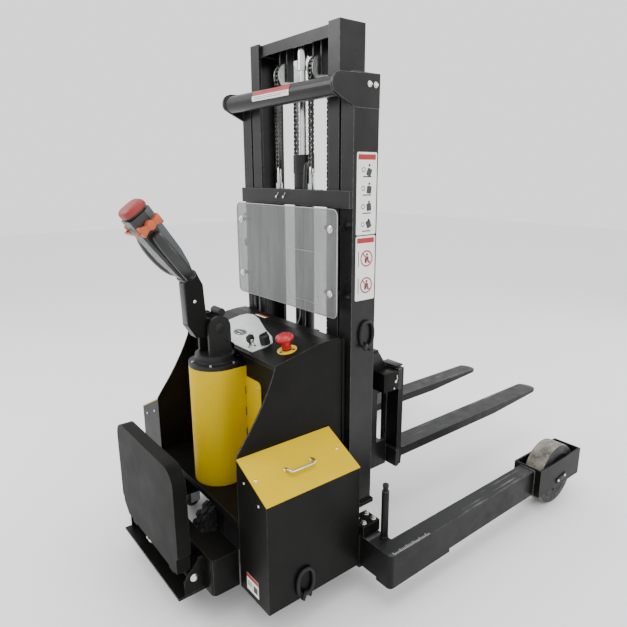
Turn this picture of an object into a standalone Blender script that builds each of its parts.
"""Walkie straddle stacker: a pedestrian pallet stacker with a two-stage mast.

Truck frame, in metres: +X is the truck's right, +Y points along the forks, +Z is up. Heights start at the
floor. The datum empty moves the truck so that the middle of its footprint is at the world's origin.
Every length below is a driving dimension, or is worked out from one.
"""
import math

import bmesh
import bpy
from mathutils import Matrix, Vector

# ---------------------------------------------------------------- driving dimensions
GAP = 0.0003                        # clearance between pieces that touch
SHEET = 0.003                       # body panel thickness
REAR_Y = -0.660                     # rearmost face: the platform bracket
FORK_TIP_Y = 1.550
CENTRE_Y = (REAR_Y + FORK_TIP_Y) / 2

# chassis and body panels
FLOOR_CLEARANCE = 0.1035
DECK_Z = 0.360
DECK_REAR_Y = -0.456
CONSOLE_HALF = 0.3207               # outer face of the side panels
CONSOLE_WALL_Y = -0.272
CONSOLE_REAR_Y = -0.293
CONSOLE_REAR_Z = 0.882
CONSOLE_KNEE_Y = -0.107
CONSOLE_KNEE_Z = 0.924
CONSOLE_TOP_Z = 0.929
BUMPER_REAR_Y = -0.560
BUMPER_HALF = 0.310
BUMPER_TOP_Z = 0.245

# battery boxes and lids
BOX_IN_X = 0.321
BOX_OUT_X = 0.496
BOX_FRONT_Y = -0.061
BOX_IN_Z = 0.593
BOX_OUT_Z = 0.503
BOX_WALL = 0.004
LID_THICK = 0.004

# straddle legs
ARM_Y = (-0.052, 0.021)
ARM_Z = (0.100, 0.222)
ARM_IN_X = 0.160
LEG_X = (0.580, 0.650)
LEG_END_Y = 0.8615
LEG_HEEL_Y = 0.276
HEEL_CORNER_R = 0.018
POST_Y = 0.005                      # lock post on the arm
LEG_HEEL_Z = 0.088
LEG_LOW_Z = 0.103
RECEIVER_HALF = 0.500
RECEIVER_WALL = 0.008
RECEIVER_FIT = 0.0005
HOUSING_X = (0.550, 0.680)
HOUSING_Y = (0.862, 1.213)
HOUSING_Z = (0.100, 0.230)
HOUSING_WALL = 0.008
LOAD_WHEEL_R = 0.143
LOAD_WHEEL_WIDTH = 0.090
LOAD_WHEEL_Y = 1.0456
LOAD_AXLE_R = 0.012

# mast
MAST_Y = (0.022, 0.138)
MAST_FLANGE = 0.012
OUTER_X = (0.285, 0.348)
OUTER_Z = (0.2308, 1.830)
INNER_X = (0.215, 0.2735)
INNER_Z = (0.350, 2.000)
HEAD_PLATE_X = (0.3395, 0.3495)
HEAD_TUBE_Y = -0.034
HEAD_TUBE_Z = 1.783
HEAD_TUBE_R = 0.033
ANCHOR_BAR_Z = (1.391, 1.450)
SHELF_X = (0.058, 0.150)
CYLINDER_Y = 0.080
CYLINDER_R = 0.039
GLAND_R = 0.0415
GLAND_Z = (1.511, 1.578)
ROD_R = 0.015
ROD_HEAD_R = 0.022
ROD_HEAD_Z = 1.880
SHEAVE_X = 0.104
SHEAVE_Y = 0.078
SHEAVE_Z = 1.870
SHEAVE_GROOVE_R = 0.037
SHEAVE_RIM_R = 0.050
SHEAVE_HALF = 0.016
CHAIN_WIDTH = 0.025
CHAIN_THICK = 0.014
CHAIN_ANCHOR_Z = 1.532
GUARD_Y = (-0.035, -0.030)
GUARD_HALF = 0.330
GUARD_Z = (1.005, 1.388)
GUARD_BOSS_X = 0.296
GUARD_BOSS_Z = (1.090, 1.320)

# carriage and forks
SIDE_X = (0.190, 0.205)
SIDE_Y = (0.050, 0.3715)
SIDE_Z = (0.240, 0.780)
SIDE_STEP_Y = 0.150
SIDE_STEP_Z = 0.520
WINDOW_Y = (0.312, 0.366)
WINDOW_Z = (0.360, 0.610)
FORK_BAR_Y = (0.372, 0.388)
UPPER_BAR_Z = (0.615, 0.705)
LOWER_BAR_Z = (0.250, 0.330)
FORK_BAR_HALF = 0.269
CHAIN_PLATE_Y = (0.1245, 0.1395)
CHAIN_PLATE_Z = (0.655, 0.745)
ROLLER_R = 0.0455
ROLLER_Z = (0.560, 0.740)
FORK_X = (0.153, 0.254)
SHANK_Y = (0.3885, 0.418)
SHANK_Z = (0.244, 0.700)
BLADE_Z = (0.280, 0.320)

# steered drive unit and tiller
STEER_Y = -0.345
COVER_R = 0.100
COVER_TOP_Z = 0.820
COVER_FLANGE_TOP_Z = 0.780
COVER_FLANGE_X = 0.198
COVER_FLANGE_Y = -0.2725
MOTOR_R = 0.072
DRIVE_WHEEL_R = 0.125
DRIVE_WHEEL_X = (-0.045, 0.030)
DISC_R = 0.100
DISC_Z = (0.8203, 0.835)
HUB_R = 0.075
HUB_TOP_Z = 0.865
TILT_Z = 0.965
CHEEK_X = (0.033, 0.045)
CHEEK_R = 0.045
ARM_HALF = 0.022
HEAD_BASE_Y = -0.438
HEAD_BASE_Z = 1.158
HEAD_LEAN = math.radians(36.6)      # tiller head leans back from the vertical
HEAD_LENGTH = 0.283
HEAD_HALF_WIDE = 0.043
HEAD_BACK = 0.042                   # head's depth towards the operator
HEAD_FRONT = 0.046                  # head's depth towards the forks

# folding platform
PLATFORM_PIVOT_Y = -0.600
PLATFORM_PIVOT_Z = 0.168
PLATFORM_HALF = 0.253
PLATFORM_Y = (-0.655, -0.607)
PLATFORM_Z = (0.200, 0.585)
PLATFORM_NECK_HALF = 0.2405
PLATFORM_NECK_Z = 0.255
PLATFORM_WALL = 0.004
PLATFORM_CORNER_R = 0.060
LUG_X = (0.2425, 0.2505)
BRACKET_HALF = 0.252
BRACKET_TOP_Z = 0.1115

# swivel casters under the battery boxes
CASTER_X = 0.385
CASTER_Y = -0.280
CASTER_TRAIL = 0.022
CASTER_WHEEL_R = 0.034
CASTER_WHEEL_HALF = 0.013

# controls on the console
STOP_X = 0.254
STOP_Y = -0.196
KEY_X = 0.112
KEY_Y = -0.252
KNOB_X = 0.142
KNOB_Y = -0.212
PANEL_THICK = 0.003

CONSOLE_SLOPE = math.atan2(CONSOLE_KNEE_Z - CONSOLE_REAR_Z, CONSOLE_KNEE_Y - CONSOLE_REAR_Y)

COLOURS = {
    "black_paint": ((0.012, 0.012, 0.012), 0.35, 0.0),
    "yellow_paint": ((0.85, 0.55, 0.02), 0.35, 0.0),
    "mast_paint": ((0.03, 0.03, 0.028), 0.4, 0.0),
    "chrome": ((0.75, 0.75, 0.75), 0.15, 1.0),
    "zinc": ((0.55, 0.57, 0.56), 0.35, 1.0),
    "chain_steel": ((0.12, 0.12, 0.12), 0.4, 1.0),
    "white_panel": ((0.75, 0.78, 0.76), 0.4, 0.0),
    "clear_sheet": ((0.7, 0.72, 0.72), 0.1, 0.0),
    "red_plastic": ((0.75, 0.03, 0.03), 0.35, 0.0),
    "orange_plastic": ((0.9, 0.25, 0.05), 0.4, 0.0),
    "black_plastic": ((0.02, 0.02, 0.02), 0.5, 0.0),
    "grey_plastic": ((0.12, 0.12, 0.13), 0.5, 0.0),
    "tread": ((0.35, 0.33, 0.28), 0.7, 0.0),
    "rubber": ((0.03, 0.03, 0.03), 0.8, 0.0),
    "battery_case": ((0.05, 0.06, 0.08), 0.5, 0.0),
}


# ---------------------------------------------------------------- scene and helpers
def clear_scene():
    for obj in list(bpy.data.objects):
        bpy.data.objects.remove(obj, do_unlink=True)
    for collection in list(bpy.data.collections):
        bpy.data.collections.remove(collection)


def new_collection(name):
    collection = bpy.data.collections.new(name)
    bpy.context.scene.collection.children.link(collection)
    return collection


clear_scene()
PARTS = new_collection("walkie_stacker")
CUTTERS = new_collection("cutters")
DATUM = bpy.data.objects.new("truck_datum", None)
DATUM.location = (0, -CENTRE_Y, 0)
PARTS.objects.link(DATUM)


def paint(obj, colour):
    """Give an object a material of its own in a named colour."""
    rgb, roughness, metallic = COLOURS[colour]
    material = bpy.data.materials.new(obj.name + "_" + colour)
    material.use_nodes = True
    shader = material.node_tree.nodes["Principled BSDF"]
    shader.inputs["Base Color"].default_value = (*rgb, 1)
    shader.inputs["Roughness"].default_value = roughness
    shader.inputs["Metallic"].default_value = metallic
    obj.data.materials.clear()
    obj.data.materials.append(material)


def add_mesh(name, build, pivot=(0, 0, 0)):
    """Make an object from a function that fills a bmesh in truck coordinates; its origin is the pivot."""
    shape = bmesh.new()
    build(shape)
    bmesh.ops.translate(shape, verts=shape.verts, vec=-Vector(pivot))
    mesh = bpy.data.meshes.new(name)
    shape.to_mesh(mesh)
    shape.free()
    obj = bpy.data.objects.new(name, mesh)
    obj.location = pivot
    obj.parent = DATUM
    PARTS.objects.link(obj)
    return obj


def cuboid(low, high):
    """A builder for the box between two corners."""
    size = Vector(high) - Vector(low)
    middle = (Vector(high) + Vector(low)) / 2
    return lambda shape: bmesh.ops.create_cube(
        shape, size=1, matrix=Matrix.Translation(middle) @ Matrix.Diagonal((*size, 1)))


def cylinder(start, end, radius, segments=24, end_radius=None):
    """A builder for a closed cylinder or cone between two points."""
    start, end = Vector(start), Vector(end)
    turn = (end - start).to_track_quat("Z", "Y").to_matrix().to_4x4()
    place = Matrix.Translation((start + end) / 2) @ turn
    tip = radius if end_radius is None else end_radius
    return lambda shape: bmesh.ops.create_cone(
        shape, cap_ends=True, segments=segments, radius1=radius, radius2=tip,
        depth=(end - start).length, matrix=place)


def make_mesh_of(curve_object):
    """Replace a curve object by a mesh object of the same shape, with its caps welded."""
    bpy.context.view_layer.update()
    graph = bpy.context.evaluated_depsgraph_get()
    mesh = bpy.data.meshes.new_from_object(curve_object.evaluated_get(graph))
    shape = bmesh.new()
    shape.from_mesh(mesh)
    bmesh.ops.remove_doubles(shape, verts=shape.verts, dist=0.00001)
    bmesh.ops.recalc_face_normals(shape, faces=shape.faces)
    shape.to_mesh(mesh)
    shape.free()
    name = curve_object.name
    place = curve_object.matrix_local.copy()
    bpy.data.objects.remove(curve_object)
    obj = bpy.data.objects.new(name, mesh)
    obj.parent = DATUM
    obj.matrix_local = place
    PARTS.objects.link(obj)
    return obj


# A flat outline's own x, y and thickness directions, for each plane it can be drawn in.
PLANES = {
    "XY": Matrix(((1, 0, 0), (0, 1, 0), (0, 0, 1))),
    "XZ": Matrix(((1, 0, 0), (0, 0, -1), (0, 1, 0))),
    "YZ": Matrix(((0, 0, 1), (1, 0, 0), (0, 1, 0))),
}


def flat(name, plane, points, low, high):
    """A flat outline in a plane, thick from low to high along the plane's third axis."""
    curve = bpy.data.curves.new(name, "CURVE")
    curve.dimensions = "2D"
    curve.fill_mode = "BOTH"
    curve.extrude = (high - low) / 2
    spline = curve.splines.new("POLY")
    spline.points.add(len(points) - 1)
    for point, (first, second) in zip(spline.points, points):
        point.co = (first, second, 0, 1)
    spline.use_cyclic_u = True
    obj = bpy.data.objects.new(name, curve)
    sign = -1 if plane == "XZ" else 1
    axes = PLANES[plane]
    obj.matrix_local = Matrix.Translation(axes @ Vector((0, 0, sign * (low + high) / 2))) @ axes.to_4x4()
    obj.parent = DATUM
    PARTS.objects.link(obj)
    return make_mesh_of(obj)


def rectangle(low, high):
    return [(low[0], low[1]), (high[0], low[1]), (high[0], high[1]), (low[0], high[1])]


def arc(centre, radius, start, end, steps):
    """Points on a circle from one angle to another, in degrees."""
    angles = [math.radians(start + (end - start) * i / steps) for i in range(steps + 1)]
    return [(centre[0] + radius * math.cos(a), centre[1] + radius * math.sin(a)) for a in angles]


def bezier(p0, p1, p2, p3, steps):
    """Points along a cubic curve."""
    points = []
    for i in range(steps + 1):
        t = i / steps
        weights = ((1 - t) ** 3, 3 * t * (1 - t) ** 2, 3 * t * t * (1 - t), t ** 3)
        points.append(tuple(sum(w * p[k] for w, p in zip(weights, (p0, p1, p2, p3))) for k in (0, 1)))
    return points


def turned(name, profile, pivot, axis="Z", steps=32):
    """A turned body: (radius, height) points listed top to bottom, spun about an axis through the pivot."""
    mesh = bpy.data.meshes.new(name)
    shape = bmesh.new()
    verts = [shape.verts.new((radius, 0, height)) for radius, height in profile]
    closed = profile[0][0] > 0
    for first, second in zip(verts, verts[1:] + ([verts[0]] if closed else [])):
        shape.edges.new((first, second))
    shape.to_mesh(mesh)
    shape.free()
    obj = bpy.data.objects.new(name, mesh)
    screw = obj.modifiers.new("turn", "SCREW")
    screw.steps = steps
    screw.render_steps = steps
    screw.use_merge_vertices = True
    screw.merge_threshold = 0.00001
    obj.location = pivot
    if axis == "X":
        obj.rotation_euler = (0, math.pi / 2, 0)
    obj.parent = DATUM
    PARTS.objects.link(obj)
    return obj


def finish(obj, colour, pivot=None, smooth=False):
    """Paint an object, and move its origin to a pivot where one is given."""
    if pivot is not None:
        bpy.context.view_layer.update()
        obj.data.transform(Matrix.Translation(-Vector(pivot)) @ obj.matrix_local)
        obj.matrix_local = Matrix.Translation(pivot)
    paint(obj, colour)
    if smooth:
        obj.data.shade_smooth()
        obj.data.set_sharp_from_angle(angle=math.radians(35))
    return obj


def combine(target, others, operation="UNION"):
    """Join or cut a target with other objects, and apply the result to its mesh."""
    for other in others:
        modifier = target.modifiers.new(operation.lower(), "BOOLEAN")
        modifier.operation = operation
        modifier.solver = "EXACT"
        modifier.object = other
    bpy.context.view_layer.update()
    graph = bpy.context.evaluated_depsgraph_get()
    mesh = bpy.data.meshes.new_from_object(target.evaluated_get(graph))
    target.modifiers.clear()
    target.data = mesh
    for other in others:
        bpy.data.objects.remove(other)
    return target


def cut(target, *cutters):
    return combine(target, cutters, "DIFFERENCE")


def solid(name, build, colour, pivot=(0, 0, 0), smooth=False):
    obj = add_mesh(name, build, pivot)
    paint(obj, colour)
    if smooth:
        obj.data.shade_smooth()
        obj.data.set_sharp_from_angle(angle=math.radians(35))
    return obj


def tool(build):
    """A temporary solid for joining or cutting."""
    return add_mesh("tool", build)


def side_name(side):
    return "right" if side > 0 else "left"


def span(pair, side):
    """An X range measured outward from the centre plane, as low and high on one side of the truck."""
    return tuple(sorted((side * pair[0], side * pair[1])))


def console_z(y):
    """Height of the console's sloping top at a place along the truck."""
    return CONSOLE_REAR_Z + (y - CONSOLE_REAR_Y) * math.tan(CONSOLE_SLOPE)


# ---------------------------------------------------------------- chassis and body panels
def build_deck():
    front = CONSOLE_WALL_Y + SHEET
    lip = 0.025
    thick = 0.006
    outline = [(DECK_REAR_Y, DECK_Z - lip), (DECK_REAR_Y + thick, DECK_Z - lip),
               (DECK_REAR_Y + thick, DECK_Z - thick), (front, DECK_Z - thick),
               (front, DECK_Z), (DECK_REAR_Y, DECK_Z)]
    half = CONSOLE_HALF - SHEET - GAP
    deck = flat("deck_plate", "YZ", outline, -half, half)
    hole_r = 0.085
    cut(deck, tool(cylinder((0, STEER_Y, DECK_Z - 0.05), (0, STEER_Y, DECK_Z + 0.05), hole_r, 32)))
    finish(deck, "black_paint")


def build_bumper():
    """The low rear cross box, open below and hollowed round the steered wheel."""
    inner_y = -0.512
    front = DECK_REAR_Y - GAP
    wall = 0.006
    outline = arc((-BUMPER_HALF + 0.02, BUMPER_REAR_Y + 0.02), 0.02, 180, 270, 4)
    outline += arc((BUMPER_HALF - 0.02, BUMPER_REAR_Y + 0.02), 0.02, 270, 360, 4)
    outline += [(BUMPER_HALF, front), (0.170, front), (0.150, inner_y), (-0.150, inner_y),
                (-0.170, front), (-BUMPER_HALF, front)]
    bumper = flat("rear_bumper_box", "XY", outline, FLOOR_CLEARANCE, BUMPER_TOP_Z)
    hollows = [((-BUMPER_HALF + wall, BUMPER_REAR_Y + wall), (BUMPER_HALF - wall, inner_y - wall))]
    for side in (-1, 1):
        x = span((0.177, BUMPER_HALF - wall), side)
        hollows.append(((x[0], BUMPER_REAR_Y + 2 * wall), (x[1], front - wall)))
    for low, high in hollows:
        cut(bumper, tool(cuboid((*low, FLOOR_CLEARANCE - 0.01), (*high, BUMPER_TOP_Z - wall))))
    finish(bumper, "black_paint")


def console_edge():
    """The side panel's rear and top edge, from the battery box's top to the mast."""
    sweep = bezier((DECK_REAR_Y, 0.600), (-0.405, 0.668), (-0.325, 0.785), (CONSOLE_REAR_Y, 0.874), 8)
    return sweep + [(CONSOLE_REAR_Y + 0.001, CONSOLE_REAR_Z), (CONSOLE_KNEE_Y, CONSOLE_KNEE_Z),
                    (-0.060, CONSOLE_TOP_Z), (-0.012, CONSOLE_TOP_Z), (0, CONSOLE_TOP_Z - 0.012)]


def build_side_panels():
    receiver_top = ARM_Z[1] + RECEIVER_WALL + 2 * RECEIVER_FIT
    outline = [(DECK_REAR_Y, FLOOR_CLEARANCE)] + console_edge()
    outline += [(0, receiver_top), (BOX_FRONT_Y, receiver_top), (BOX_FRONT_Y, FLOOR_CLEARANCE)]
    for side in (1, -1):
        low, high = span((CONSOLE_HALF - SHEET, CONSOLE_HALF), side)
        panel = flat(side_name(side) + "_side_panel", "YZ", outline, low, high)
        finish(panel, "black_paint")


def build_console():
    """One bent sheet: the wall behind the drive cover, the sloping top and the front wall."""
    bottom = OUTER_Z[0] + GAP
    rise = SHEET * 1.02
    outer = [(CONSOLE_WALL_Y, DECK_Z + GAP), (CONSOLE_WALL_Y, 0.866), (CONSOLE_REAR_Y, 0.866),
             (CONSOLE_REAR_Y, CONSOLE_REAR_Z), (CONSOLE_KNEE_Y, CONSOLE_KNEE_Z),
             (-0.060, CONSOLE_TOP_Z), (-0.012, CONSOLE_TOP_Z), (0, CONSOLE_TOP_Z - 0.012), (0, bottom)]
    inner = [(-SHEET, bottom), (-SHEET, CONSOLE_TOP_Z - 0.013), (-0.0133, CONSOLE_TOP_Z - SHEET),
             (-0.060, CONSOLE_TOP_Z - SHEET), (CONSOLE_KNEE_Y, CONSOLE_KNEE_Z - rise),
             (CONSOLE_REAR_Y + SHEET, CONSOLE_REAR_Z - rise * 0.8),
             (CONSOLE_REAR_Y + SHEET, 0.866 + SHEET), (CONSOLE_WALL_Y + SHEET, 0.866 + SHEET),
             (CONSOLE_WALL_Y + SHEET, DECK_Z + GAP)]
    half = CONSOLE_HALF - SHEET - GAP
    shell = flat("console_shell", "YZ", outer + inner, -half, half)
    disc_room = cylinder((0, STEER_Y, DISC_Z[0] - 0.010), (0, STEER_Y, 0.8725), DISC_R + 0.006, 48)
    yoke_room = cylinder((0, STEER_Y, 0.860), (0, STEER_Y, 0.960), 0.073, 32)
    cut(shell, tool(disc_room))
    cut(shell, tool(yoke_room))
    finish(shell, "black_paint")


def build_battery_box(side):
    """An open box with a sloping rim, its battery, and its lid with a bow handle."""
    name = side_name(side)

    def mirrored(points):
        return points if side > 0 else [(-x, z) for x, z in reversed(points)]

    outline = [(BOX_IN_X, FLOOR_CLEARANCE), (BOX_OUT_X, FLOOR_CLEARANCE), (BOX_OUT_X, BOX_OUT_Z),
               (BOX_IN_X, BOX_IN_Z)]
    box = flat(name + "_battery_box", "XZ", mirrored(outline), DECK_REAR_Y, BOX_FRONT_Y)
    x = span((BOX_IN_X + BOX_WALL, BOX_OUT_X - BOX_WALL), side)
    cut(box, tool(cuboid((x[0], DECK_REAR_Y + BOX_WALL, FLOOR_CLEARANCE + BOX_WALL),
                         (x[1], BOX_FRONT_Y - BOX_WALL, BOX_IN_Z + 0.1))))
    finish(box, "black_paint")

    x = span((BOX_IN_X + 0.007, BOX_OUT_X - 0.007), side)
    solid(name + "_battery", cuboid((x[0], -0.420, FLOOR_CLEARANCE + BOX_WALL + GAP), (x[1], -0.100, 0.400)),
          "battery_case")

    slope = math.atan2(BOX_IN_Z - BOX_OUT_Z, BOX_OUT_X - BOX_IN_X)
    rise = LID_THICK * math.cos(slope)
    shift = LID_THICK * math.sin(slope)
    low_in = (BOX_IN_X + GAP, BOX_IN_Z + GAP)
    low_out = (BOX_OUT_X + 0.001, BOX_OUT_Z - 0.0005 + GAP)
    high_out = (low_out[0] + shift, low_out[1] + rise)
    high_in = (low_in[0] + shift, low_in[1] + rise)
    lid_outline = [low_in, low_out, high_out, high_in]
    hinge = (side * (low_in[0] + shift), (DECK_REAR_Y + BOX_FRONT_Y) / 2, low_in[1] + rise)
    lid = flat(name + "_box_lid", "XZ", mirrored(lid_outline), DECK_REAR_Y - 0.001, BOX_FRONT_Y - 0.001)
    combine(lid, [make_lid_handle(side, slope)])
    finish(lid, "yellow_paint", hinge)


def make_lid_handle(side, slope):
    """A round-bar bow that leans down the lid's slope, with a finger gap under its bar."""
    foot_x = 0.410
    foot_z = BOX_IN_Z - (foot_x - BOX_IN_X) * math.tan(slope)
    reach = 0.030
    ends = (-0.322, -0.213)
    corner = 0.010
    bar_z = foot_z + 0.006
    route = [(foot_x, ends[0], foot_z), (foot_x + reach - corner, ends[0], bar_z + 0.004),
             (foot_x + reach, ends[0] + corner, bar_z), (foot_x + reach, ends[1] - corner, bar_z),
             (foot_x + reach - corner, ends[1], bar_z + 0.004), (foot_x, ends[1], foot_z)]
    curve = bpy.data.curves.new("handle", "CURVE")
    curve.dimensions = "3D"
    curve.bevel_depth = 0.004
    curve.bevel_resolution = 2
    curve.use_fill_caps = True
    spline = curve.splines.new("POLY")
    spline.points.add(len(route) - 1)
    for point, (x, y, z) in zip(spline.points, route):
        point.co = (side * x, y, z, 1)
    obj = bpy.data.objects.new("handle", curve)
    obj.parent = DATUM
    PARTS.objects.link(obj)
    return make_mesh_of(obj)


def build_receiver():
    """The cross tube that both leg arms slide in, its clamp blocks, and the shoe under the mast."""
    low_y, high_y = ARM_Y[0] - RECEIVER_FIT, ARM_Y[1] + RECEIVER_FIT
    low_z, high_z = ARM_Z[0] - RECEIVER_FIT, ARM_Z[1] + RECEIVER_FIT
    wall = RECEIVER_WALL
    tube = add_mesh("leg_receiver", cuboid((-RECEIVER_HALF, low_y - wall, low_z - wall),
                                           (RECEIVER_HALF, high_y + wall, high_z + wall)))
    shoe = tool(cuboid((-OUTER_X[1] - 0.01, 0.010, high_z + wall - 0.016),
                       (OUTER_X[1] + 0.01, 0.146, high_z + wall)))
    blocks = []
    for side in (1, -1):
        x = span((0.440, 0.515), side)
        blocks.append(tool(cuboid((x[0], low_y - 0.004, high_z + 0.002), (x[1], high_y + 0.004, 0.268))))
    combine(tube, [shoe] + blocks)
    cut(tube, tool(cuboid((-1, low_y, low_z), (1, high_y, high_z))))
    finish(tube, "black_paint")


def build_power_pack():
    """The lift motor, pump and oil tank inside the console."""
    tank = add_mesh("hydraulic_power_pack", cuboid((-0.270, -0.190, 0.300), (-0.020, -0.030, 0.460)))
    motor = tool(cylinder((-0.080, -0.110, 0.450), (-0.080, -0.110, 0.620), 0.055, 20))
    combine(tank, [motor])
    finish(tank, "zinc")


# ---------------------------------------------------------------- straddle legs
def build_leg(side):
    """An arm that slides in the receiver, and the leg beam that runs forward from it, with a lock post."""
    name = side_name(side)
    arm_x = span((ARM_IN_X, LEG_X[1]), side)
    beam_x = span(LEG_X, side)
    leg = add_mesh(name + "_leg", cuboid((arm_x[0], ARM_Y[0], ARM_Z[0]), (arm_x[1], ARM_Y[1], ARM_Z[1])))
    beam = tool(cuboid((beam_x[0], ARM_Y[0] + 0.01, LEG_LOW_Z), (beam_x[1], LEG_END_Y, ARM_Z[1])))
    heel = tool(cuboid((beam_x[0], ARM_Y[0], LEG_HEEL_Z), (beam_x[1], LEG_HEEL_Y, LEG_LOW_Z + 0.01)))
    post_x = side * 0.560
    post = tool(cylinder((post_x, POST_Y, ARM_Z[1] - 0.01), (post_x, POST_Y, 0.416), 0.0135, 16))
    tip = tool(cylinder((post_x, POST_Y, 0.400), (post_x, POST_Y, 0.443), 0.0095, 16))
    combine(leg, [beam, heel])
    r = HEEL_CORNER_R
    plan = [(ARM_IN_X - 0.01, ARM_Y[0]), (LEG_X[1] - r, ARM_Y[0])]
    plan += arc((LEG_X[1] - r, ARM_Y[0] + r), r, -90, 0, 6)
    plan += [(LEG_X[1], LEG_END_Y + 0.01), (ARM_IN_X - 0.01, LEG_END_Y + 0.01)]
    combine(leg, [flat("tool", "XY", mirrored_x(plan, side), 0, 1)], "INTERSECT")
    combine(leg, [post, tip])
    finish(leg, "black_paint")


def build_wheel_housing(side):
    """A frame of four plates round the load wheel, with the wheel's axle across it."""
    name = side_name(side)
    x = span(HOUSING_X, side)
    wall = HOUSING_WALL
    frame = add_mesh(name + "_wheel_housing", cuboid((x[0], HOUSING_Y[0], HOUSING_Z[0]),
                                                     (x[1], HOUSING_Y[1], HOUSING_Z[1])))
    cut(frame, tool(cuboid((x[0] + wall, HOUSING_Y[0] + wall, HOUSING_Z[0] - 0.05),
                           (x[1] - wall, HOUSING_Y[1] - wall, HOUSING_Z[1] + 0.05))))
    axle = tool(cylinder((x[0] + 0.002, LOAD_WHEEL_Y, LOAD_WHEEL_R),
                         (x[1] - 0.002, LOAD_WHEEL_Y, LOAD_WHEEL_R), LOAD_AXLE_R, 20))
    combine(frame, [axle])
    finish(frame, "black_paint")


def wheel_profile(radius, half, bore, crown):
    """A wheel's half section, down its outer side and back up its bore."""
    edge = crown
    return [(bore, half), (radius - edge * 2, half), (radius - edge * 0.5, half - edge),
            (radius, half - edge * 2.5), (radius, -half + edge * 2.5), (radius - edge * 0.5, -half + edge),
            (radius - edge * 2, -half), (bore, -half)]


def build_load_wheel(side):
    x = side * (HOUSING_X[0] + HOUSING_X[1]) / 2
    profile = wheel_profile(LOAD_WHEEL_R, LOAD_WHEEL_WIDTH / 2, LOAD_AXLE_R + 0.0005, 0.004)
    wheel = turned(side_name(side) + "_load_wheel", profile, (x, LOAD_WHEEL_Y, LOAD_WHEEL_R), "X", 48)
    finish(wheel, "tread", smooth=True)


# ---------------------------------------------------------------- mast
def channel(x_range):
    """A C section's outline in XY, with its open side towards the truck's centre."""
    low, high = x_range
    t = MAST_FLANGE
    return [(low, MAST_Y[0]), (high, MAST_Y[0]), (high, MAST_Y[1]), (low, MAST_Y[1]),
            (low, MAST_Y[1] - t), (high - t, MAST_Y[1] - t), (high - t, MAST_Y[0] + t), (low, MAST_Y[0] + t)]


def mirrored_x(points, side):
    return points if side > 0 else [(-x, y) for x, y in reversed(points)]


def build_outer_upright(side):
    """An outer mast channel with the head plate and the guard's bosses welded on."""
    name = side_name(side) + "_outer_upright"
    upright = flat(name, "XY", mirrored_x(channel(OUTER_X), side), *OUTER_Z)
    nose = arc((HEAD_TUBE_Y - 0.001, HEAD_TUBE_Z + 0.002), 0.0385, 95, 215, 6)
    plate = nose + [(-0.036, 1.747), (0.025, 1.719), (MAST_Y[1], 1.719), (MAST_Y[1], OUTER_Z[1])]
    low, high = span(HEAD_PLATE_X, side)
    head_plate = flat("tool", "YZ", plate, low, high)
    extras = [head_plate]
    for z in GUARD_BOSS_Z:
        extras.append(tool(cylinder((side * GUARD_BOSS_X, GUARD_Y[1] + GAP, z),
                                    (side * GUARD_BOSS_X, MAST_Y[0] + 0.004, z), 0.008, 12)))
    combine(upright, extras)
    finish(upright, "mast_paint")


def build_mast_fittings():
    half = HEAD_PLATE_X[0] - GAP
    shape = cylinder((-half, HEAD_TUBE_Y, HEAD_TUBE_Z), (half, HEAD_TUBE_Y, HEAD_TUBE_Z), HEAD_TUBE_R, 32)
    tube = solid("mast_head_tube", shape, "mast_paint", smooth=True)
    tube.data.set_sharp_from_angle(angle=math.radians(35))

    bar_half = OUTER_X[1]
    bar = add_mesh("chain_anchor_bar", cuboid((-bar_half, 0.006, ANCHOR_BAR_Z[0]),
                                              (bar_half, MAST_Y[0] - GAP, ANCHOR_BAR_Z[1])))
    shelves = []
    for side in (1, -1):
        x = span(SHELF_X, side)
        shelves.append(tool(cuboid((x[0], 0.010, ANCHOR_BAR_Z[1] - 0.012), (x[1], 0.054, ANCHOR_BAR_Z[1]))))
    combine(bar, shelves)
    finish(bar, "mast_paint")

    top = CHAIN_ANCHOR_Z - GAP
    bottom = ANCHOR_BAR_Z[1] + GAP
    y = SHEAVE_Y - SHEAVE_GROOVE_R - CHAIN_THICK / 2
    for side in (1, -1):
        anchor = turned(side_name(side) + "_chain_anchor",
                        [(0, top), (0.006, top), (0.006, top - 0.022), (0.0085, top - 0.024),
                         (0.0085, bottom + 0.022), (0.013, bottom + 0.020), (0.013, bottom), (0, bottom)],
                        (side * SHEAVE_X, y, 0), steps=12)
        finish(anchor, "zinc", smooth=True)

    guard_outline = []
    for x, z, start in ((-GUARD_HALF, GUARD_Z[0], 180), (GUARD_HALF, GUARD_Z[0], 270),
                        (GUARD_HALF, GUARD_Z[1], 0), (-GUARD_HALF, GUARD_Z[1], 90)):
        corner = 0.022
        centre = (x - math.copysign(corner, x), z + corner if z == GUARD_Z[0] else z - corner)
        guard_outline += arc(centre, corner, start, start + 90, 4)
    guard = flat("mast_guard", "XZ", guard_outline, *GUARD_Y)
    finish(guard, "clear_sheet")


def build_lift_cylinder():
    """A hollow ram tube, closed at its foot, with a wider gland at its mouth."""
    bore = ROD_R + 0.0005
    foot = OUTER_Z[0] + GAP
    profile = [(bore, GLAND_Z[1]), (GLAND_R, GLAND_Z[1]), (GLAND_R, GLAND_Z[0]),
               (CYLINDER_R, GLAND_Z[0] - 0.004), (CYLINDER_R, foot), (0, foot)]
    inside = [(0, foot + 0.010), (bore, foot + 0.010)]
    mesh_profile = profile + inside
    tube = turned_open("lift_cylinder", mesh_profile, (0, CYLINDER_Y, 0), 32)
    finish(tube, "black_paint", smooth=True)


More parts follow.
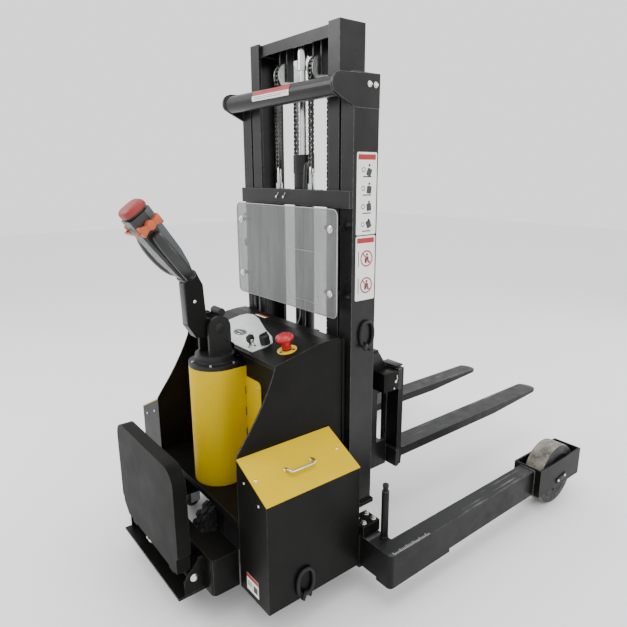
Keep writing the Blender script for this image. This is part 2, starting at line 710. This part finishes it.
def turned_open(name, profile, pivot, steps):
    """A turned cup: the profile runs down the outside to the axis, and back up the inside from the axis."""
    split = next(i for i, point in enumerate(profile) if point[0] == 0) + 1
    mesh = bpy.data.meshes.new(name)
    shape = bmesh.new()
    verts = [shape.verts.new((radius, 0, height)) for radius, height in profile]
    for i in range(len(verts) - 1):
        if i != split - 1:
            shape.edges.new((verts[i], verts[i + 1]))
    shape.edges.new((verts[-1], verts[0]))
    shape.to_mesh(mesh)
    shape.free()
    obj = bpy.data.objects.new(name, mesh)
    screw = obj.modifiers.new("turn", "SCREW")
    screw.steps = steps
    screw.render_steps = steps
    screw.use_merge_vertices = True
    screw.merge_threshold = 0.00001
    obj.location = pivot
    obj.parent = DATUM
    PARTS.objects.link(obj)
    return obj


def build_inner_mast():
    for side in (1, -1):
        upright = flat(side_name(side) + "_inner_upright", "XY", mirrored_x(channel(INNER_X), side), *INNER_Z)
        x = span((INNER_X[1] - 0.002, OUTER_X[1] - MAST_FLANGE - 0.002), side)
        y = (MAST_Y[0] + MAST_Y[1]) / 2
        z = INNER_Z[0] + 0.060
        combine(upright, [tool(cylinder((x[0], y, z), (x[1], y, z), ROLLER_R, 24))])
        finish(upright, "mast_paint")

    half = INNER_X[1] - MAST_FLANGE - GAP
    rear, front = MAST_Y[0] + MAST_FLANGE + GAP, MAST_Y[1] - MAST_FLANGE - GAP
    t = 0.008
    top = INNER_Z[1] - 0.005
    outline = [(rear, 1.955), (rear + t, 1.955), (rear + t, top - t), (front - t, top - t),
               (front - t, 1.935), (front, 1.935), (front, top), (rear, top)]
    beam = flat("inner_top_beam", "YZ", outline, -half, half)
    extras = []
    for side in (1, -1):
        for edge in (0.078, 0.124):
            x = span((edge, edge + 0.006), side)
            extras.append(tool(cuboid((x[0], SHEAVE_Y - 0.016, SHEAVE_Z - 0.020),
                                      (x[1], SHEAVE_Y + 0.016, top - 0.004))))
        x = span((0.080, 0.128), side)
        extras.append(tool(cylinder((x[0], SHEAVE_Y, SHEAVE_Z), (x[1], SHEAVE_Y, SHEAVE_Z), 0.009, 16)))
    combine(beam, extras)
    finish(beam, "mast_paint")

    half = INNER_X[0] - GAP
    low_bar = cuboid((-half, 0.122, INNER_Z[0]), (half, MAST_Y[1], INNER_Z[0] + 0.035))
    solid("inner_lower_beam", low_bar, "mast_paint")
    rod_top = top - t - GAP
    rod = turned("lift_rod", [(0, rod_top), (ROD_HEAD_R, rod_top), (ROD_HEAD_R, ROD_HEAD_Z),
                              (ROD_R, ROD_HEAD_Z), (ROD_R, 0.360), (0, 0.360)], (0, CYLINDER_Y, 0))
    finish(rod, "chrome", smooth=True)

    rim = SHEAVE_RIM_R
    groove = SHEAVE_GROOVE_R - GAP
    wide = SHEAVE_HALF
    bore = 0.0095
    profile = [(bore, wide), (rim, wide), (rim, wide - 0.002), (groove, wide - 0.0025),
               (groove, -wide + 0.0025), (rim, -wide + 0.002), (rim, -wide), (bore, -wide)]
    for side in (1, -1):
        sheave = turned(side_name(side) + "_sheave", profile, (side * SHEAVE_X, SHEAVE_Y, SHEAVE_Z), "X", 40)
        finish(sheave, "zinc", smooth=True)


def build_chains():
    """Each lift chain's two straight runs: anchor to sheave, and sheave to carriage."""
    reach = SHEAVE_GROOVE_R + CHAIN_THICK / 2
    runs = {"rear": (SHEAVE_Y - reach, CHAIN_ANCHOR_Z), "front": (SHEAVE_Y + reach, CHAIN_PLATE_Z[1] + GAP)}
    for side in (1, -1):
        x = side * SHEAVE_X
        for run, (y, foot) in runs.items():
            solid(side_name(side) + "_chain_" + run + "_run",
                  cuboid((x - CHAIN_WIDTH / 2, y - CHAIN_THICK / 2, foot),
                         (x + CHAIN_WIDTH / 2, y + CHAIN_THICK / 2, SHEAVE_Z)), "chain_steel")


# ---------------------------------------------------------------- carriage and forks
def build_carriage():
    """A welded frame: two side plates with their mast rollers, a chain plate and two fork bars."""
    outline = [(SIDE_Y[0], SIDE_STEP_Z), (SIDE_STEP_Y, SIDE_STEP_Z), (SIDE_STEP_Y, SIDE_Z[0] + 0.02),
               (SIDE_STEP_Y + 0.02, SIDE_Z[0]), (SIDE_Y[1], SIDE_Z[0]), (SIDE_Y[1], SIDE_Z[1] - 0.09),
               (SIDE_Y[1] - 0.06, SIDE_Z[1]), (SIDE_Y[0], SIDE_Z[1])]
    carriage = None
    extras = []
    for side in (1, -1):
        low, high = span(SIDE_X, side)
        plate = flat("carriage_frame" if side > 0 else "tool", "YZ", outline, low, high)
        cut(plate, tool(cuboid((low - 0.01, WINDOW_Y[0], WINDOW_Z[0]),
                               (high + 0.01, WINDOW_Y[1], WINDOW_Z[1]))))
        if side > 0:
            carriage = plate
        else:
            extras.append(plate)
        x = span((SIDE_X[0] + 0.005, INNER_X[1] - MAST_FLANGE - 0.001), side)
        for z in ROLLER_Z:
            y = (MAST_Y[0] + MAST_Y[1]) / 2
            extras.append(tool(cylinder((x[0], y, z), (x[1], y, z), ROLLER_R, 24)))
    half = SIDE_X[1] - 0.002
    extras.append(tool(cuboid((-half, CHAIN_PLATE_Y[0], CHAIN_PLATE_Z[0]),
                              (half, CHAIN_PLATE_Y[1], CHAIN_PLATE_Z[1]))))
    for low_z, high_z in (UPPER_BAR_Z, LOWER_BAR_Z):
        extras.append(tool(cuboid((-FORK_BAR_HALF, FORK_BAR_Y[0] - 0.001, low_z),
                                  (FORK_BAR_HALF, FORK_BAR_Y[1], high_z))))
    combine(carriage, extras)
    finish(carriage, "mast_paint")


def build_fork(side):
    """An L-shaped fork: an upright shank, and a blade that tapers to a rounded tip."""
    low, high = span(FORK_X, side)
    taper_y = FORK_TIP_Y - 0.42
    profile = [(SHANK_Y[0], SHANK_Z[0]), (SHANK_Y[1], SHANK_Z[0]), (SHANK_Y[1] + 0.004, BLADE_Z[0]),
               (taper_y, BLADE_Z[0]), (FORK_TIP_Y, BLADE_Z[1] - 0.014), (FORK_TIP_Y, BLADE_Z[1] - 0.004),
               (FORK_TIP_Y - 0.03, BLADE_Z[1]), (SHANK_Y[1] + 0.006, BLADE_Z[1]),
               (SHANK_Y[1], BLADE_Z[1] + 0.006), (SHANK_Y[1], SHANK_Z[1]), (SHANK_Y[0], SHANK_Z[1])]
    fork = flat(side_name(side) + "_fork", "YZ", profile, low, high)
    corner = 0.047
    plan = [(low, SHANK_Y[0] - 0.01), (high, SHANK_Y[0] - 0.01)]
    plan += arc((high - corner, FORK_TIP_Y - corner), corner, 0, 90, 5)
    plan += arc((low + corner, FORK_TIP_Y - corner), corner, 90, 180, 5)
    combine(fork, [flat("tool", "XY", plan, 0, 1)], "INTERSECT")
    finish(fork, "black_paint")


# ---------------------------------------------------------------- steered drive unit and tiller
def build_drive_cover():
    """The half-round cover round the drive motor, with a bolting flange on each side."""
    t = SHEET
    bend_y = COVER_FLANGE_Y - t
    outer = arc((0, STEER_Y), COVER_R, 180, 360, 20)
    inner = arc((0, STEER_Y), COVER_R - t, 360, 180, 20)
    outline = [(-COVER_FLANGE_X, COVER_FLANGE_Y), (-COVER_FLANGE_X, bend_y), (-COVER_R, bend_y)] + outer
    outline += [(COVER_R, bend_y), (COVER_FLANGE_X, bend_y), (COVER_FLANGE_X, COVER_FLANGE_Y),
                (COVER_R - t, COVER_FLANGE_Y)] + inner + [(-COVER_R + t, COVER_FLANGE_Y)]
    cover = flat("drive_cover", "XY", outline, DECK_Z + GAP, COVER_TOP_Z)
    r = 0.020
    spare = [(COVER_R + 0.0005, COVER_FLANGE_TOP_Z), (COVER_R + 0.0005, COVER_TOP_Z + 0.01),
             (COVER_FLANGE_X + 0.01, COVER_TOP_Z + 0.01), (COVER_FLANGE_X + 0.01, COVER_FLANGE_TOP_Z - r)]
    spare += arc((COVER_FLANGE_X - r, COVER_FLANGE_TOP_Z - r), r, 0, 90, 5)
    for side in (1, -1):
        cut(cover, flat("tool", "XZ", mirrored_x(spare, side), bend_y - 0.001, COVER_FLANGE_Y + 0.001))
    finish(cover, "yellow_paint", smooth=True)


def build_drive_unit():
    """The traction motor and the gearbox that carries the drive wheel's axle."""
    pivot = (0, STEER_Y, DRIVE_WHEEL_R)
    wheel_low, wheel_high = DRIVE_WHEEL_X
    motor = cylinder((0, STEER_Y, 0.322), (0, STEER_Y, COVER_TOP_Z - 0.004), MOTOR_R, 32)
    unit = add_mesh("drive_unit", motor)
    bridge = tool(cuboid((wheel_low - 0.005, STEER_Y - 0.050, 0.262), (0.100, STEER_Y + 0.050, 0.328)))
    gearbox = tool(cuboid((wheel_high + 0.004, STEER_Y - 0.048, 0.060), (0.098, STEER_Y + 0.048, 0.325)))
    axle = tool(cylinder((wheel_low, STEER_Y, DRIVE_WHEEL_R),
                         (wheel_high + 0.010, STEER_Y, DRIVE_WHEEL_R), 0.015, 16))
    combine(unit, [bridge, gearbox, axle])
    finish(unit, "black_plastic", pivot)

    half = (wheel_high - wheel_low) / 2
    profile = wheel_profile(DRIVE_WHEEL_R, half, 0.0155, 0.003)
    wheel = turned("drive_wheel", profile, ((wheel_low + wheel_high) / 2, STEER_Y, DRIVE_WHEEL_R), "X", 40)
    finish(wheel, "rubber", smooth=True)


def build_steering_column():
    """The disc and hub over the cover, and the two cheeks that hold the tiller's pivot."""
    pivot = (0, STEER_Y, DISC_Z[0])
    disc = cylinder((0, STEER_Y, DISC_Z[0]), (0, STEER_Y, DISC_Z[1]), DISC_R, 40)
    column = add_mesh("steering_column", disc)
    hub = tool(cylinder((0, STEER_Y, DISC_Z[1] - 0.005), (0, STEER_Y, HUB_TOP_Z), HUB_R, 32))
    extras = [hub]
    for side in (1, -1):
        low, high = span(CHEEK_X, side)
        outline = [(STEER_Y - CHEEK_R, HUB_TOP_Z - 0.004), (STEER_Y + CHEEK_R, HUB_TOP_Z - 0.004)]
        outline += arc((STEER_Y, TILT_Z), CHEEK_R, 0, 180, 12)
        extras.append(flat("tool", "YZ", outline, low, high))
        x = span((ARM_HALF + 0.001, CHEEK_X[0] + 0.002), side)
        extras.append(tool(cylinder((x[0], STEER_Y, TILT_Z), (x[1], STEER_Y, TILT_Z), 0.018, 16)))
    combine(column, extras)
    finish(column, "black_plastic", pivot)


def build_tiller():
    """The bent arm, the head with its two hand loops, and the head's controls."""
    pivot = Vector((0, STEER_Y, TILT_Z))
    outline = arc((STEER_Y, TILT_Z), 0.028, -90, 90, 8)
    lean_y, lean_z = 0.0285 * math.cos(HEAD_LEAN), 0.0285 * math.sin(HEAD_LEAN)
    outline += [(-0.384, 1.004), (-0.392, 1.129), (HEAD_BASE_Y + lean_y, HEAD_BASE_Z + lean_z),
                (HEAD_BASE_Y - lean_y, HEAD_BASE_Z - lean_z), (-0.457, 0.985), (-0.428, 0.938)]
    arm = flat("tiller_arm", "YZ", outline, -ARM_HALF, ARM_HALF)
    finish(arm, "black_paint", pivot)

    # The head is drawn standing at its own base: local Z runs up the head, local Y towards the forks.
    base = Vector((0, HEAD_BASE_Y, HEAD_BASE_Z))
    lean = Matrix.Translation(base) @ Matrix.Rotation(HEAD_LEAN, 4, "X")

    def leaned(build):
        def make(shape):
            build(shape)
            bmesh.ops.transform(shape, matrix=lean, verts=shape.verts)
        return make

    neck = 0.026
    head = add_mesh("tiller_head", leaned(head_wedge))
    throat = tool(leaned(cuboid((-neck, -neck, 0.002), (neck, neck, 0.060))))
    loops = [make_hand_loop(side, lean) for side in (1, -1)]
    combine(head, [throat] + loops)
    button_z = 0.122
    pocket = (HEAD_HALF_WIDE - 0.008, HEAD_HALF_WIDE + 0.015)
    cut(head, tool(leaned(cuboid((pocket[0], -0.0145, button_z - 0.0165),
                                 (pocket[1], 0.0145, button_z + 0.0165)))))
    finish(head, "grey_plastic", pivot)

    cap_low = HEAD_LENGTH + 0.009
    cap = cuboid((-0.042, -0.038, cap_low), (0.042, 0.044, cap_low + 0.024))
    button = add_mesh("reverse_button", leaned(cap))
    finish(button, "red_plastic", lean @ Vector((0, 0, cap_low)))

    hinge_z = 0.240
    low, high = HEAD_HALF_WIDE + 0.0045, HEAD_HALF_WIDE + 0.027
    paddle = add_mesh("thumb_paddle", leaned(cylinder((low, 0, hinge_z), (high, 0, hinge_z), 0.013, 16)))
    extras = []
    for side in (1, -1):
        wing_x = span((low, high), side)
        if side < 0:
            extras.append(tool(leaned(cylinder((wing_x[0], 0, hinge_z), (wing_x[1], 0, hinge_z), 0.013, 16))))
        for reach in (1, -1):
            wing = span((0.006, 0.041 if reach > 0 else HEAD_BACK + 0.011), reach)
            extras.append(tool(leaned(cuboid((wing_x[0], wing[0], hinge_z - 0.005),
                                             (wing_x[1], wing[1], hinge_z + 0.005)))))
    bridge_y = span((HEAD_BACK + 0.009, HEAD_BACK + 0.013), -1)
    extras.append(tool(leaned(cuboid((-high, bridge_y[0], hinge_z - 0.004),
                                     (high, bridge_y[1], hinge_z + 0.004)))))
    combine(paddle, extras)
    finish(paddle, "orange_plastic", lean @ Vector((0, 0, hinge_z)))

    inner, outer = HEAD_HALF_WIDE - 0.0025, HEAD_HALF_WIDE + 0.003
    cap = cuboid((inner, -0.014, button_z - 0.016), (outer, 0.014, button_z + 0.016))
    lift = add_mesh("lift_button", leaned(cap))
    finish(lift, "orange_plastic", lean @ Vector((inner, 0, button_z)))


def head_wedge(shape):
    """The head's body: a bar that widens towards its tip, with its two forward corners cut off."""
    verts = []
    for height, wide, back, front in ((0.040, 0.031, 0.030, 0.032), (0.100, HEAD_HALF_WIDE, 0.036, 0.040),
                                      (HEAD_LENGTH, HEAD_HALF_WIDE + 0.003, HEAD_BACK, HEAD_FRONT)):
        for x, y in ((-1, -back), (1, -back), (1, 0.4 * front),
                     (0.6, front), (-0.6, front), (-1, 0.4 * front)):
            verts.append(shape.verts.new((x * wide, y, height)))
    bmesh.ops.convex_hull(shape, input=verts)


def make_hand_loop(side, lean):
    """A closed oval bar beside the head, tilted towards the operator."""
    curve = bpy.data.curves.new("loop", "CURVE")
    curve.dimensions = "3D"
    curve.bevel_depth = 0.0150
    curve.bevel_resolution = 2
    spline = curve.splines.new("POLY")
    count = 20
    spline.points.add(count - 1)
    for i, point in enumerate(spline.points):
        angle = 2 * math.pi * i / count
        out = 0.062 + 0.040 * math.cos(angle)
        up = 0.112 + 0.090 * math.sin(angle)
        point.co = (side * out, -0.30 * (out - 0.022) + 0.006, up, 1)
    spline.use_cyclic_u = True
    obj = bpy.data.objects.new("loop", curve)
    obj.parent = DATUM
    obj.matrix_local = lean
    PARTS.objects.link(obj)
    return make_mesh_of(obj)


# ---------------------------------------------------------------- platform
def build_platform():
    bracket = add_mesh("platform_bracket", cuboid((-BRACKET_HALF, REAR_Y, FLOOR_CLEARANCE),
                                                  (BRACKET_HALF, BUMPER_REAR_Y - 0.0005, BRACKET_TOP_Z)))
    outline = [(-0.635, BRACKET_TOP_Z - 0.002), (BUMPER_REAR_Y - 0.0005, BRACKET_TOP_Z - 0.002),
               (BUMPER_REAR_Y - 0.0005, 0.235), (-0.578, 0.235), (-0.635, 0.160)]
    lugs = []
    for side in (1, -1):
        low, high = span(LUG_X, side)
        lugs.append(flat("tool", "YZ", outline, low, high))
    combine(bracket, lugs)
    finish(bracket, "black_paint")

    pivot = (0, PLATFORM_PIVOT_Y, PLATFORM_PIVOT_Z)
    half, neck = PLATFORM_HALF, PLATFORM_NECK_HALF
    low_z, high_z = PLATFORM_Z
    r = PLATFORM_CORNER_R
    face = [(-neck + 0.04, low_z), (neck, low_z), (neck, PLATFORM_NECK_Z)]
    face.append((half, PLATFORM_NECK_Z + half - neck))
    face += arc((half - r, high_z - r), r, 0, 90, 6)
    face += arc((-half + r, high_z - r), r, 90, 180, 6)
    face += [(-half, PLATFORM_NECK_Z + half - neck), (-neck, PLATFORM_NECK_Z), (-neck, low_z + 0.04)]
    platform = flat("platform", "XZ", face, *PLATFORM_Y)
    wall = PLATFORM_WALL
    cut(platform, tool(cuboid((-neck + 0.045, PLATFORM_Y[0] + wall, low_z - 0.01),
                              (neck - wall, PLATFORM_Y[1] - wall, high_z - 0.02))))
    tube_half = LUG_X[0] - 0.001
    tube = tool(cylinder((-tube_half, pivot[1], pivot[2]), (tube_half, pivot[1], pivot[2]), 0.018, 20))
    extras = [tube]
    for side in (1, -1):
        x = span((0.150, 0.190), side)
        extras.append(tool(cuboid((x[0], -0.645, PLATFORM_PIVOT_Z), (x[1], PLATFORM_PIVOT_Y, low_z + 0.004))))
    combine(platform, extras)
    finish(platform, "black_paint", pivot)


# ---------------------------------------------------------------- casters
def build_caster(side):
    name = side_name(side)
    x = side * CASTER_X
    axle_y = CASTER_Y - CASTER_TRAIL
    top = FLOOR_CLEARANCE - GAP
    fork = add_mesh(name + "_caster_fork", cylinder((x, CASTER_Y, 0.078), (x, CASTER_Y, top), 0.030, 24))
    extras = []
    for cheek in (1, -1):
        low, high = span((CASTER_WHEEL_HALF + 0.0015, CASTER_WHEEL_HALF + 0.0055), cheek)
        extras.append(tool(cuboid((x + low, axle_y - 0.012, 0.022), (x + high, CASTER_Y + 0.010, 0.082))))
    reach = CASTER_WHEEL_HALF + 0.003
    extras.append(tool(cylinder((x - reach, axle_y, CASTER_WHEEL_R),
                                (x + reach, axle_y, CASTER_WHEEL_R), 0.005, 12)))
    combine(fork, extras)
    finish(fork, "zinc", (x, CASTER_Y, top))
    profile = wheel_profile(CASTER_WHEEL_R, CASTER_WHEEL_HALF, 0.0054, 0.002)
    wheel = turned(name + "_caster_wheel", profile, (x, axle_y, CASTER_WHEEL_R), "X", 28)
    finish(wheel, "rubber", smooth=True)


# ---------------------------------------------------------------- console controls
def build_console_controls():
    """The white instrument panel, and the stop button, key and knob that stand square to the sloping top."""
    outline = [(0.152, -0.278), (0.163, -0.225), (0.156, -0.190), (0.112, -0.163), (0.030, -0.138),
               (-0.090, -0.090), (-0.150, -0.078), (-0.185, -0.086), (-0.203, -0.112), (-0.206, -0.170),
               (-0.198, -0.278)]
    panel = flat("instrument_panel", "XY", outline, 0, PANEL_THICK)
    slope = Matrix.Translation((0, 0, console_z(0))) @ Matrix.Rotation(CONSOLE_SLOPE, 4, "X")
    stretch = 1 / math.cos(CONSOLE_SLOPE)
    finish(panel, "white_panel", (0, 0, 0))
    panel.data.transform(slope @ Matrix.Translation((0, 0, GAP)) @ Matrix.Diagonal((1, stretch, 1, 1)))
    cut(panel, tool(cylinder((0, STEER_Y, 0.85), (0, STEER_Y, 0.96), 0.073, 32)))

    def stand(x, y, lift):
        """A matrix whose Z is square to the console's top at a place on it."""
        base = Vector((x, y, console_z(y)))
        square = Matrix.Rotation(CONSOLE_SLOPE, 4, "X")
        return Matrix.Translation(base + square @ Vector((0, 0, lift))) @ square

    def control(name, profile, place, colour, steps):
        obj = turned(name, profile, (0, 0, 0), steps=steps)
        obj.matrix_local = place
        return finish(obj, colour, smooth=True)

    stop = [(0, 0.056), (0.020, 0.055), (0.030, 0.049), (0.033, 0.041), (0.031, 0.034), (0.024, 0.030),
            (0.017, 0.027), (0.017, 0), (0, 0)]
    control("e_stop_button", stop, stand(STOP_X, STOP_Y, 0.007), "red_plastic", 28)

    lift = PANEL_THICK + 2 * GAP
    knob = [(0, 0.036), (0.014, 0.036), (0.017, 0.033), (0.018, 0), (0, 0)]
    control("console_knob", knob, stand(KNOB_X, KNOB_Y, lift), "black_plastic", 24)

    place = stand(KEY_X, KEY_Y, lift)
    key = add_mesh("key", cylinder((0, 0, 0), (0, 0, 0.008), 0.010, 20))
    bow = tool(cuboid((-0.0012, -0.010, 0.006), (0.0012, 0.010, 0.030)))
    combine(key, [bow])
    key.matrix_local = place
    finish(key, "zinc")


def main():
    build_deck()
    build_bumper()
    build_side_panels()
    build_console()
    build_receiver()
    build_power_pack()
    build_mast_fittings()
    build_lift_cylinder()
    build_inner_mast()
    build_chains()
    build_carriage()
    build_drive_cover()
    build_drive_unit()
    build_steering_column()
    build_tiller()
    build_platform()
    build_console_controls()
    for side in (1, -1):
        build_battery_box(side)
        build_leg(side)
        build_wheel_housing(side)
        build_load_wheel(side)
        build_outer_upright(side)
        build_fork(side)
        build_caster(side)


main()
